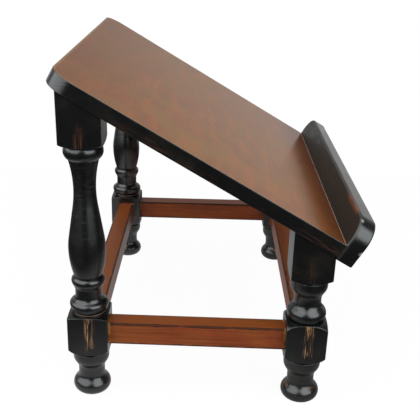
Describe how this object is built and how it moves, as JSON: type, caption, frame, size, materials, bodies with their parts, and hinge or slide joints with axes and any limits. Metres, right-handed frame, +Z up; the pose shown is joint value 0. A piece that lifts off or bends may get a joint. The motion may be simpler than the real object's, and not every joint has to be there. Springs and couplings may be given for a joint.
{
  "type": "bible stand",
  "caption": "Sloping wooden book stand with a raised front ledge, carried on turned legs joined by low stretchers, for holding an open bible on a table or altar.",
  "frame": {"origin": "on the table, at the middle of the stand's box in plan", "axes": "+Z up, +X across the board to the reader's right, +Y away from the reader, so the ledge is at -Y"},
  "size_m": [0.452, 0.3474, 0.384],
  "materials": {
    "brown_stain": "reddish brown stain under satin lacquer",
    "black_paint": "black satin paint, rubbed through to brown at the arrises",
    "plain_beech": "bare, glued in"
  },
  "bodies": {
    "root": {"top_board": "brown_stain", "book_ledge": "black_paint", "rear_left_leg": "black_paint", "rear_right_leg": "black_paint", "front_left_leg": "black_paint", "front_right_leg": "black_paint", "left_stretcher": "brown_stain", "right_stretcher": "brown_stain", "front_stretcher": "brown_stain", "rear_stretcher": "brown_stain", "leg_dowels": "plain_beech", "ledge_dowels": "plain_beech"}
  },
  "joints": []
}
